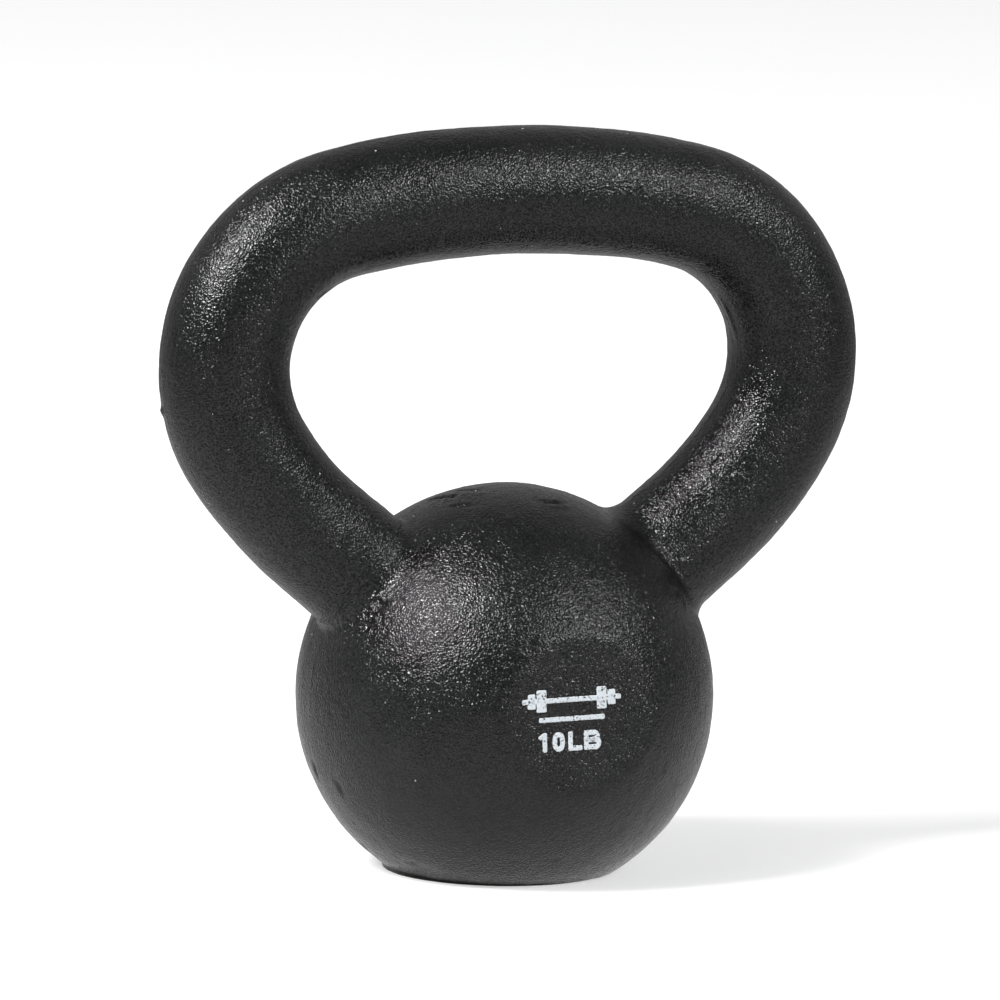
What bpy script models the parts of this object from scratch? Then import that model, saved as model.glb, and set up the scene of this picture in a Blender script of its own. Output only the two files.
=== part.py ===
"""A ten-pound cast-iron kettlebell with a closed handle, in metres, +Z up.

The origin is the middle of the flat base, on the floor. The printed front looks along -Y.

The bell is a ball with a flat ground on its underside and a flat disc cast into its front. The
handle is one tube that runs from one side of the ball to the other: a nearly straight grip, two
round corners, and two horns that come in towards the middle of the ball. Its centreline lies in
the XZ plane and is made of arcs that meet without a kink:

    crown arc (the grip) -> corner arc -> side arc -> straight stretch into the ball

The casting is split where its section changes, each piece clear of the next by one GAP.
"""

import math

import bmesh
import bpy
from mathutils import Matrix, Vector

# Bell
BELL_DIAMETER = 0.0945
BASE_DIAMETER = 0.0506
BASE_PAD_HEIGHT = 0.0012
FRONT_FLAT_DIAMETER = 0.0354

# Handle
WINDOW_HEIGHT = 0.0533  # clear height for the hand, from the ball's top to the grip's underside
HANDLE_SPAN = 0.1378  # between the tube's centrelines, where the handle is widest
GRIP_DIAMETER = 0.0290
HORN_DIAMETER = 0.0295
CROWN_RADIUS = 0.195  # the grip's slight upward bow, along its centreline
CORNER_RADIUS = 0.0355
SIDE_RADIUS = 0.0842  # the gentle bend of the horn, between its corner and its straight stretch
HORN_STRAIGHT = 0.011  # from the ball's surface to where the side arc begins
ROOT_FILLET = 0.0025  # radius of the fillet where a horn meets the ball

# Printed marks on the front flat
FIGURE_HEIGHT = 0.0048
FIGURE_STROKE = 0.0011
FIGURE_BASELINE = -0.0064  # below the middle of the flat
FIGURES_START = -0.0091  # left edge of the first figure, from the middle of the flat
FIGURE_SPACE = 0.0008
ONE_WIDTH = 0.0021
ZERO_WIDTH = 0.0033
L_WIDTH = 0.0033
B_WIDTH = 0.0041
ONE_FLAG_DROP = 0.0013  # how far the flag of the one falls from its top
B_WAIST = 0.0025  # height of the B's lower bowl
BARBELL_BAR = 0.0011  # thickness of its bar
BARBELL_DISCS = ((0.0062, 0.0024, 0.0050), (0.0086, 0.0019, 0.0034))  # start, width, height
BARBELL_STUB = 0.0016  # bar that shows beyond the discs
BARBELL_RISE = 0.0053  # its middle, above the middle of the flat
RULE_LENGTH = 0.0160
RULE_HEIGHT = 0.0011
RULE_RISE = 0.0013
MARKS_SHIFT = -0.0013  # the barbell and the rule sit a little left of the flat's middle
INK_THICKNESS = 0.0002

# Clearance between neighbouring pieces, and how finely round things are divided
GAP = 0.0003
BALL_SEGMENTS = 56
TUBE_SEGMENTS = 32
DEGREES_PER_RING = 5.0
FILLET_RINGS = 3
SEAT_RINGS = 3
ROUND_STEPS = 6  # divisions of a quarter turn in a printed figure

# Worked out from the sizes above
BELL_RADIUS = BELL_DIAMETER / 2
BELL_CENTRE_Z = math.sqrt(BELL_RADIUS**2 - (BASE_DIAMETER / 2) ** 2)
FLAT_DEPTH = math.sqrt(BELL_RADIUS**2 - (FRONT_FLAT_DIAMETER / 2) ** 2)
GRIP_Z = BELL_CENTRE_Z + BELL_RADIUS + WINDOW_HEIGHT + GRIP_DIAMETER / 2
CROWN_CENTRE_Z = GRIP_Z - CROWN_RADIUS
CORNER_CENTRE_X = HANDLE_SPAN / 2 - CORNER_RADIUS
CROWN_TO_CORNER = CROWN_RADIUS - CORNER_RADIUS
CORNER_CENTRE_Z = CROWN_CENTRE_Z + math.sqrt(CROWN_TO_CORNER**2 - CORNER_CENTRE_X**2)
CROWN_HALF_ANGLE = math.asin(CORNER_CENTRE_X / CROWN_TO_CORNER)

IRON = {"colour": (0.022, 0.022, 0.023), "roughness": 0.5, "metallic": 0.0}
INK = {"colour": (0.62, 0.64, 0.66), "roughness": 0.6, "metallic": 0.0}


def side_arc():
    """Find the arc that leaves the corner arc smoothly and runs smoothly into the straight stretch.

    The straight stretch points at the ball's middle. So the arc's centre is as far from the
    corner's centre as the two radii differ, and as far from the ball's middle as the long side of
    a right triangle whose short sides are the arc's radius and the straight line to where it ends.
    Returns the straight stretch's angle from the vertical, and the angle from the vertical at
    which the corner arc ends.
    """
    ball = Vector((0, BELL_CENTRE_Z))
    corner = Vector((CORNER_CENTRE_X, CORNER_CENTRE_Z))
    from_corner = SIDE_RADIUS - CORNER_RADIUS
    from_ball = math.hypot(SIDE_RADIUS, BELL_RADIUS + HORN_STRAIGHT)
    apart = (corner - ball).length
    towards = (corner - ball) / apart
    beside = Vector((-towards.y, towards.x))
    along = (from_ball**2 - from_corner**2 + apart**2) / (2 * apart)
    centre = ball + towards * along + beside * math.sqrt(from_ball**2 - along**2)
    horn_angle = math.atan2(*(centre - ball)) + math.asin(SIDE_RADIUS / from_ball)
    return horn_angle, math.atan2(*(corner - centre))


HORN_ANGLE, CORNER_END_ANGLE = side_arc()
SIDE_ANGLE = HORN_ANGLE + math.pi / 2 - CORNER_END_ANGLE


def clear_scene():
    """Remove every object that the scene starts with."""
    for thing in list(bpy.data.objects):
        bpy.data.objects.remove(thing)


def finish(thing, look):
    """Give the object a Principled material of its own."""
    material = bpy.data.materials.new(thing.name + "_finish")
    material.use_nodes = True
    shader = material.node_tree.nodes["Principled BSDF"]
    shader.inputs["Base Color"].default_value = (*look["colour"], 1.0)
    shader.inputs["Roughness"].default_value = look["roughness"]
    shader.inputs["Metallic"].default_value = look["metallic"]
    thing.data.materials.append(material)


def mesh_from(bm, name):
    """Turn the edited shape into a smooth-shaded mesh whose faces point outwards."""
    bmesh.ops.recalc_face_normals(bm, faces=bm.faces)
    mesh = bpy.data.meshes.new(name)
    bm.to_mesh(mesh)
    bm.free()
    mesh.shade_smooth()
    mesh.set_sharp_from_angle(angle=math.radians(35))
    return mesh


def place(name, mesh, look, parent, location=(0, 0, 0), turn=(0, 0, 0)):
    """Put a mesh in the scene as a named piece under the parent."""
    thing = bpy.data.objects.new(name, mesh)
    bpy.context.scene.collection.objects.link(thing)
    thing.parent = parent
    thing.location = location
    thing.rotation_euler = turn
    if not mesh.materials:
        finish(thing, look)
    return thing


# The bell


def bell_mesh():
    """A ball about its own centre, cut off flat at the base and at the front."""
    bm = bmesh.new()
    bmesh.ops.create_uvsphere(
        bm, u_segments=BALL_SEGMENTS, v_segments=BALL_SEGMENTS // 2, radius=BELL_RADIUS
    )
    cuts = (
        (Vector((0, 0, BASE_PAD_HEIGHT + GAP - BELL_CENTRE_Z)), Vector((0, 0, -1))),
        (Vector((0, -FLAT_DEPTH, 0)), Vector((0, -1, 0))),
    )
    for point, normal in cuts:
        everything = bm.verts[:] + bm.edges[:] + bm.faces[:]
        cut = bmesh.ops.bisect_plane(
            bm, geom=everything, dist=1e-5, plane_co=point, plane_no=normal, clear_outer=True
        )
        rim = [edge for edge in cut["geom_cut"] if isinstance(edge, bmesh.types.BMEdge)]
        bmesh.ops.edgeloop_fill(bm, edges=rim)
    return mesh_from(bm, "bell")


def base_pad_mesh():
    """The lowest slice of the ball, ground flat: a shallow cone between the two sections."""
    bm = bmesh.new()
    top_radius = math.sqrt(BELL_RADIUS**2 - (BELL_CENTRE_Z - BASE_PAD_HEIGHT) ** 2)
    bmesh.ops.create_cone(
        bm,
        cap_ends=True,
        segments=BALL_SEGMENTS,
        radius1=BASE_DIAMETER / 2,
        radius2=top_radius,
        depth=BASE_PAD_HEIGHT,
    )
    return mesh_from(bm, "base_pad")


# The handle's tube


def ring(x, z, heading, radius):
    """Where a unit circle goes to stand square across a path in the XZ plane.

    The heading is the path's direction, measured from +Z towards +X.
    """
    turn = Matrix.Rotation(heading, 4, "Y")
    return Matrix.Translation((x, 0, z)) @ turn @ Matrix.Scale(radius, 4)


def even_steps(angle):
    """How many steps an arc is divided into: an even number, so that one ring is at its middle."""
    return 2 * max(1, math.ceil(math.degrees(abs(angle)) / DEGREES_PER_RING / 2))


def arc_rings(radius, start, end, tube_radius_at):
    """Rings along an arc about the origin, at angles from the vertical.

    tube_radius_at gives the tube's radius at a share, from 0 to 1, of the way along.
    """
    steps = even_steps(end - start)
    rings = []
    for step in range(steps + 1):
        share = step / steps
        angle = start + (end - start) * share
        x, z = radius * math.sin(angle), radius * math.cos(angle)
        rings.append(ring(x, z, angle + math.pi / 2, tube_radius_at(share)))
    return rings


def sweep(rings, tip=None):
    """Bridge circles that stand at the rings, and close both ends.

    A tip, if there is one, is the middle of the last end.
    """
    bm = bmesh.new()
    circles = []
    for place_of_ring in rings:
        made = bmesh.ops.create_circle(
            bm, segments=TUBE_SEGMENTS, radius=1.0, matrix=place_of_ring
        )
        circles.append(made["verts"])
    edges = [list({edge for vert in circle for edge in vert.link_edges}) for circle in circles]
    for here, following in zip(edges, edges[1:]):
        bmesh.ops.bridge_loops(bm, edges=here + following)
    ends = [bm.faces.new(circle) for circle in (circles[0], circles[-1])]
    if tip is not None:
        middle = bmesh.ops.poke(bm, faces=ends[1:])["verts"][0]
        middle.co = tip
    return bm


def grip_mesh():
    """The crown arc about its own centre, from one corner to the other."""
    end = CROWN_HALF_ANGLE - GAP / 2 / CROWN_RADIUS
    rings = arc_rings(CROWN_RADIUS, -end, end, lambda share: GRIP_DIAMETER / 2)
    return mesh_from(sweep(rings), "grip")


def corner_mesh():
    """The corner arc about its own centre. The tube swells from the grip's size to the horn's."""
    trim = GAP / 2 / CORNER_RADIUS
    swell = (HORN_DIAMETER - GRIP_DIAMETER) / 2
    rings = arc_rings(
        CORNER_RADIUS,
        CROWN_HALF_ANGLE + trim,
        CORNER_END_ANGLE - trim,
        lambda share: GRIP_DIAMETER / 2 + swell * share,
    )
    return mesh_from(sweep(rings), "corner")


def horn_mesh():
    """A horn about the ball's centre, with +Z along its straight stretch.

    It starts at the corner, follows the side arc, runs straight, flares out in the root fillet and
    ends in a hollow seat that fits round the ball. The fillet is a circle that touches both the
    tube and the ball, so its centre is one fillet radius outside each of them.
    """
    tube = HORN_DIAMETER / 2
    seat_radius = BELL_RADIUS + GAP
    arc_start_z = BELL_RADIUS + HORN_STRAIGHT
    trimmed = SIDE_ANGLE - GAP / 2 / SIDE_RADIUS
    steps = even_steps(trimmed)
    rings = []
    for step in range(steps, -1, -1):
        angle = trimmed * step / steps
        x = SIDE_RADIUS * (math.cos(angle) - 1)
        z = arc_start_z + SIDE_RADIUS * math.sin(angle)
        rings.append(ring(x, z, -angle, tube))

    reach = BELL_RADIUS + ROOT_FILLET
    fillet_across = tube + ROOT_FILLET
    fillet_along = math.sqrt(reach**2 - fillet_across**2)
    crossing = (reach**2 + ROOT_FILLET**2 - seat_radius**2) / (2 * ROOT_FILLET)
    fillet_end = math.atan2(fillet_along, fillet_across) - math.acos(crossing / reach)
    for step in range(FILLET_RINGS + 1):
        angle = fillet_end * step / FILLET_RINGS
        across = fillet_across - ROOT_FILLET * math.cos(angle)
        along = fillet_along - ROOT_FILLET * math.sin(angle)
        rings.append(ring(0, along, 0, across))

    rim = across
    for step in range(1, SEAT_RINGS + 1):
        across = rim * (1 - step / (SEAT_RINGS + 1))
        rings.append(ring(0, math.sqrt(seat_radius**2 - across**2), 0, across))
    return mesh_from(sweep(rings, tip=(0, 0, seat_radius)), "horn")


# The printed marks. An outline is a list of points (x, z) on the front flat.


def quarter(centre, radius, start_degrees):
    """Points of a quarter circle, anticlockwise from the start."""
    points = []
    for step in range(ROUND_STEPS + 1):
        angle = math.radians(start_degrees + 90 * step / ROUND_STEPS)
        points.append((centre[0] + radius * math.cos(angle), centre[1] + radius * math.sin(angle)))
    return points


def rounded_box(left, bottom, right, top, radii):
    """A box with its own radius at each corner: bottom right, top right, top left, bottom left."""
    lower_right, upper_right, upper_left, lower_left = radii
    return (
        quarter((right - lower_right, bottom + lower_right), lower_right, 270)
        + quarter((right - upper_right, top - upper_right), upper_right, 0)
        + quarter((left + upper_left, top - upper_left), upper_left, 90)
        + quarter((left + lower_left, bottom + lower_left), lower_left, 180)
    )


def slab(outline, start, thickness):
    """Stand an outline up as a slab whose back is at y = start and that reaches towards -Y."""
    bm = bmesh.new()
    corners = [bm.verts.new((x, start, z)) for x, z in outline]
    bmesh.ops.remove_doubles(bm, verts=corners, dist=1e-6)
    back = bm.faces.new(bm.verts[:])
    grown = bmesh.ops.extrude_face_region(bm, geom=[back])["geom"]
    moved = [item for item in grown if isinstance(item, bmesh.types.BMVert)]
    bmesh.ops.translate(bm, verts=moved, vec=(0, -thickness, 0))
    return bm


def cut_out(mark, outline, name):
    """Cut a hole of this outline right through a mark."""
    through = slab(outline, INK_THICKNESS, 3 * INK_THICKNESS)
    cutter = place(name, mesh_from(through, name), INK, mark)
    cutter.hide_render = True
    cutter.display_type = "WIRE"
    hole = mark.modifiers.new(name, "BOOLEAN")
    hole.operation = "DIFFERENCE"
    hole.solver = "EXACT"
    hole.object = cutter


def print_mark(name, outline, front, x, z):
    """Print one mark on the front flat, its outline's origin at (x, z)."""
    mesh = mesh_from(slab(outline, 0, INK_THICKNESS), name)
    return place(name, mesh, INK, front, location=(x, 0, z))


def figure_one():
    """Outline of the one: a stem with a slanting flag."""
    stem = ONE_WIDTH - FIGURE_STROKE
    flag_tip = FIGURE_HEIGHT - ONE_FLAG_DROP
    return [
        (stem, 0),
        (ONE_WIDTH, 0),
        (ONE_WIDTH, FIGURE_HEIGHT),
        (stem, FIGURE_HEIGHT),
        (0, flag_tip),
        (0, flag_tip - FIGURE_STROKE),
        (stem, flag_tip - FIGURE_STROKE / 4),
    ]


def figure_l():
    """Outline of the L: a stem and a foot."""
    return [
        (0, 0),
        (L_WIDTH, 0),
        (L_WIDTH, FIGURE_STROKE),
        (FIGURE_STROKE, FIGURE_STROKE),
        (FIGURE_STROKE, FIGURE_HEIGHT),
        (0, FIGURE_HEIGHT),
    ]


def print_zero(front, x):
    """Print the nought: a round-ended box with a round-ended hole."""
    outline = rounded_box(0, 0, ZERO_WIDTH, FIGURE_HEIGHT, [ZERO_WIDTH / 2] * 4)
    zero = print_mark("print_digit_zero", outline, front, x, FIGURE_BASELINE)
    right, top = ZERO_WIDTH - FIGURE_STROKE, FIGURE_HEIGHT - FIGURE_STROKE
    hole_radius = ZERO_WIDTH / 2 - FIGURE_STROKE
    hole = rounded_box(FIGURE_STROKE, FIGURE_STROKE, right, top, [hole_radius] * 4)
    cut_out(zero, hole, "zero_hole")


def print_b(front, x):
    """Print the B: a box rounded on its right, with one hole in each bowl."""
    bowl, corner = B_WAIST / 2, FIGURE_STROKE / 4
    outline = rounded_box(0, 0, B_WIDTH, FIGURE_HEIGHT, [bowl, bowl, corner, corner])
    letter = print_mark("print_letter_b", outline, front, x, FIGURE_BASELINE)
    half = FIGURE_STROKE / 2
    bowls = (
        ("b_lower_hole", FIGURE_STROKE, B_WAIST - half),
        ("b_upper_hole", B_WAIST + half, FIGURE_HEIGHT - FIGURE_STROKE),
    )
    for name, low, high in bowls:
        round_end = (high - low) / 2
        radii = [round_end, round_end, 0, 0]
        cut_out(letter, rounded_box(FIGURE_STROKE, low, B_WIDTH - FIGURE_STROKE, high, radii), name)


def print_figures(front):
    """Print 1 0 L B, one after another along the baseline: the weight, in pounds."""
    one_x = FIGURES_START
    zero_x = one_x + ONE_WIDTH + FIGURE_SPACE
    l_x = zero_x + ZERO_WIDTH + FIGURE_SPACE
    b_x = l_x + L_WIDTH + FIGURE_SPACE
    print_mark("print_digit_one", figure_one(), front, one_x, FIGURE_BASELINE)
    print_zero(front, zero_x)
    print_mark("print_letter_l", figure_l(), front, l_x, FIGURE_BASELINE)
    print_b(front, b_x)


def barbell_outline():
    """A bar with a large and a small disc at each end, as one symmetrical outline."""
    bar = BARBELL_BAR / 2
    upper_right = []
    for start, width, height in BARBELL_DISCS:
        upper_right += [(start, height / 2), (start + width, height / 2)]
    end = upper_right[-1][0]
    upper_right = [(upper_right[0][0], bar), *upper_right, (end, bar), (end + BARBELL_STUB, bar)]
    lower_right = [(x, -z) for x, z in reversed(upper_right)]
    lower_left = [(-x, -z) for x, z in upper_right]
    upper_left = [(-x, z) for x, z in reversed(upper_right)]
    return upper_right + lower_right + lower_left + upper_left


def print_front(body):
    """Print the weight, with a plain barbell and a rule above it, on the ball's front flat."""
    front = bpy.data.objects.new("front_flat", None)
    bpy.context.scene.collection.objects.link(front)
    front.parent = body
    front.location = (0, -FLAT_DEPTH - GAP, BELL_CENTRE_Z)
    print_figures(front)
    print_mark("print_barbell", barbell_outline(), front, MARKS_SHIFT, BARBELL_RISE)
    rule = rounded_box(
        -RULE_LENGTH / 2, -RULE_HEIGHT / 2, RULE_LENGTH / 2, RULE_HEIGHT / 2, [0] * 4
    )
    print_mark("print_rule", rule, front, MARKS_SHIFT, RULE_RISE)


def build():
    """Model the kettlebell, every piece under one empty at the middle of its base."""
    clear_scene()
    body = bpy.data.objects.new("kettlebell", None)
    bpy.context.scene.collection.objects.link(body)
    centre = (0, 0, BELL_CENTRE_Z)
    place("bell", bell_mesh(), IRON, body, location=centre)
    place("base_pad", base_pad_mesh(), IRON, body, location=(0, 0, BASE_PAD_HEIGHT / 2))
    place("grip", grip_mesh(), IRON, body, location=(0, 0, CROWN_CENTRE_Z))
    corner = corner_mesh()
    horn = horn_mesh()
    for side, way, half_turn in (("right", 1, 0), ("left", -1, math.pi)):
        corner_place = (way * CORNER_CENTRE_X, 0, CORNER_CENTRE_Z)
        place(side + "_corner", corner, IRON, body, corner_place, (0, 0, half_turn))
        place(side + "_horn", horn, IRON, body, centre, (0, HORN_ANGLE, half_turn))
    print_front(body)
    bpy.context.view_layer.update()


build()
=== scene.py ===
"""Finished look of a ten-pound cast-iron kettlebell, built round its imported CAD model.

Everything is in metres, +Z up, with the origin in the middle of the foot and the printed front
looking along -Y. The casting is a ball and a closed tubular handle. Its skin is worked out with
numpy: a smooth base surface (circles on a sphere, and a circle carried along a path of arcs),
pushed out or in along its outward direction by one relief that is a function of place, so that
pieces which meet agree where they meet. The relief holds the slow waves of a sand casting, the
orange peel of its textured coat, the parting line, and single pits, nubs and gashes.
"""

import logging
import math
from dataclasses import dataclass, field
from enum import Enum
from functools import cached_property

import bpy
import numpy as np
from mathutils import Matrix, Vector


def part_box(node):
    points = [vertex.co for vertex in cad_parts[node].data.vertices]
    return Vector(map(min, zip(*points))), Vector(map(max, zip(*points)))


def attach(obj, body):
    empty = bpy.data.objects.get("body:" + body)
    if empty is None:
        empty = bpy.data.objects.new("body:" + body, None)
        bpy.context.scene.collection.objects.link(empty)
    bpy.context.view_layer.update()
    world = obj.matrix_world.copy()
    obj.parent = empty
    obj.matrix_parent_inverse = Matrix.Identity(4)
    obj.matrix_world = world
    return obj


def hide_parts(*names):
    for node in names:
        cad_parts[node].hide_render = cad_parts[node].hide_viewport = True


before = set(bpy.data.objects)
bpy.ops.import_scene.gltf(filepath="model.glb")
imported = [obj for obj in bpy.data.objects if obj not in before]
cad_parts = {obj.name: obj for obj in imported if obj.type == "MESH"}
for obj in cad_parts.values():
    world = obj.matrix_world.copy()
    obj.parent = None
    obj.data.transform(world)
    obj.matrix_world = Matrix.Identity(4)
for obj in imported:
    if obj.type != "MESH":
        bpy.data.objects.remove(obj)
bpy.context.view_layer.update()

LOG = logging.getLogger("kettlebell")
MM = 0.001
FRONT = np.array((0.0, -1.0, 0.0))
UP = np.array((0.0, 0.0, 1.0))
Array = np.ndarray
Socket = bpy.types.NodeSocket
Value = Socket | float | tuple


# ---------------------------------------------------------------- numbers and noise


def unit(vectors: Array) -> Array:
    """Scale vectors along the last axis to length one."""
    return vectors / np.linalg.norm(vectors, axis=-1, keepdims=True)


def smooth_step(low: float, high: float, value: Array) -> Array:
    """Rise from 0 at low to 1 at high: t squared times (3 - 2t), with t held between 0 and 1."""
    t = np.clip((value - low) / (high - low), 0.0, 1.0)
    return t * t * (3 - 2 * t)


def smooth_min(first: Array, second: Array, blend: float) -> Array:
    """Return the smaller value, rounded where the two are within blend of each other.

    With h = 1/2 + (second - first) / (2 blend), held between 0 and 1, the result is
    h first + (1 - h) second - blend h (1 - h).

    Args:
        first: One set of values.
        second: The other set, of the same shape.
        blend: Difference at which the rounding starts.

    Returns:
        The rounded minimum.
    """
    h = np.clip(0.5 + 0.5 * (second - first) / blend, 0.0, 1.0)
    return second + (first - second) * h - blend * h * (1 - h)


def polar(radius: Array, angle: Array) -> tuple[Array, Array]:
    """Return radius times the sine and the cosine of the angle, which starts at the vertical."""
    return radius * np.sin(angle), radius * np.cos(angle)


def signed_power(value: Array, power: float) -> Array:
    """Raise the size of each value to a power, and keep its sign."""
    return np.sign(value) * np.abs(value) ** power


def direction(azimuth: float, elevation: float) -> Array:
    """Unit vector that is turned from the front towards +X, and raised from the horizontal."""
    flat = math.cos(elevation)
    return np.array((flat * math.sin(azimuth), -flat * math.cos(azimuth), math.sin(elevation)))


def level_and_rise(outward: Array) -> tuple[Array, Array]:
    """Directions to the right and upwards on a skin that faces outward, seen from outside."""
    level = unit(np.cross(outward, -UP))
    return level, np.cross(outward, level)


def turned(first: Array, second: Array, angle: Array | float) -> Array:
    """Directions turned by an angle from the first towards the second: cos first + sin second."""
    return np.cos(angle)[..., None] * first + np.sin(angle)[..., None] * second


@dataclass(frozen=True)
class Noise:
    """Gradient noise in space: a value of about -1 to 1 that changes smoothly from place to place."""

    wavelength: float
    seed: int
    octaves: int = 1
    cells: int = 256
    shift: float = 37.0
    octave_shift: float = 11.3
    gain: float = 1.6

    @cached_property
    def tables(self) -> tuple[Array, Array]:
        """A shuffled table of cell numbers, twice over, and as many random unit gradients."""
        draw = np.random.default_rng(self.seed)
        shuffled = draw.permutation(self.cells)
        return np.concatenate((shuffled, shuffled)), unit(draw.normal(size=(self.cells, 3)))

    def one_octave(self, q: Array) -> Array:
        """Blend the slopes of the eight lattice corners round each place.

        In each unit cell, every corner has a random gradient. The value is the sum over corners
        of (gradient . offset from the corner), weighted along each axis by t^3 (6t^2 - 15t + 10).

        Args:
            q: Places in lattice cells, along the last axis.

        Returns:
            One value for each place.
        """
        table, gradients = self.tables
        cell = np.floor(q).astype(np.int64)
        offset = q - cell
        fade = offset**3 * (offset * (offset * 6 - 15) + 10)
        total = np.zeros(q.shape[:-1])
        for corner in np.ndindex(2, 2, 2):
            step = np.array(corner)
            x, y, z = np.moveaxis((cell + step) % self.cells, -1, 0)
            slope = gradients[table[table[table[x] + y] + z]]
            weight = np.prod(np.where(step == 1, fade, 1 - fade), axis=-1)
            total += weight * np.sum(slope * (offset - step), axis=-1)
        return total * self.gain

    def at(self, places: Array) -> Array:
        """Add up the octaves, each half as long and half as high as the one before.

        Args:
            places: Places in the wavelength's unit, along the last axis.

        Returns:
            One value for each place.
        """
        q = places / self.wavelength + self.shift
        total = np.zeros(places.shape[:-1])
        for octave in range(self.octaves):
            total += self.one_octave(q * 2**octave + self.octave_shift * octave) / 2**octave
        return total


# ---------------------------------------------------------------- sizes and the centreline


@dataclass(frozen=True)
class Ball:
    """Size and place of the ball, and the flats cast or ground on it."""

    iron_radius: float
    centre: Array
    coat: float = 0.2 * MM
    ring_angle: float = math.radians(27.0)
    flat_radius: float = 0.0177
    flat_azimuth: float = math.radians(1.7)
    flat_elevation: float = math.radians(2.4)
    flat_round: float = 0.0008
    ground: float = 0.3 * MM
    ground_round: float = 0.0002
    least_facing: float = 0.05

    @classmethod
    def from_frame(cls) -> "Ball":
        """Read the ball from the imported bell, whose back and top are untouched by the flats."""
        _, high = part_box("bell")
        return cls(iron_radius=high.y, centre=np.array((0.0, 0.0, high.z - high.y)))

    @cached_property
    def radius(self) -> float:
        """Radius of the coated ball."""
        return self.iron_radius + self.coat

    @cached_property
    def flat_normal(self) -> Array:
        """Outward direction of the front flat."""
        return direction(self.flat_azimuth, self.flat_elevation)

    @cached_property
    def flat_depth(self) -> float:
        """Distance of the front flat from the middle of the ball."""
        return math.sqrt(self.radius**2 - self.flat_radius**2)

    def reach(self, outward: Array) -> Array:
        """Distance from the ball's middle to its skin in each outward direction.

        It is the radius, or where that is less the distance to the plane of the front flat or of
        the ground, depth / (plane normal . outward), with the rims rounded.

        Args:
            outward: Unit vectors, along the last axis.

        Returns:
            One distance for each direction.
        """
        reach = np.full(outward.shape[:-1], self.radius)
        planes = (
            (self.flat_normal, self.flat_depth, self.flat_round),
            (-UP, self.centre[2] - self.ground, self.ground_round),
        )
        for normal, depth, rounding in planes:
            facing = np.maximum(outward @ normal, self.least_facing)
            reach = smooth_min(reach, depth / facing, rounding)
        return reach

    def base(self, outward: Array) -> Array:
        """Places on the smooth skin in each outward direction."""
        return self.centre + outward * self.reach(outward)[..., None]


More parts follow.
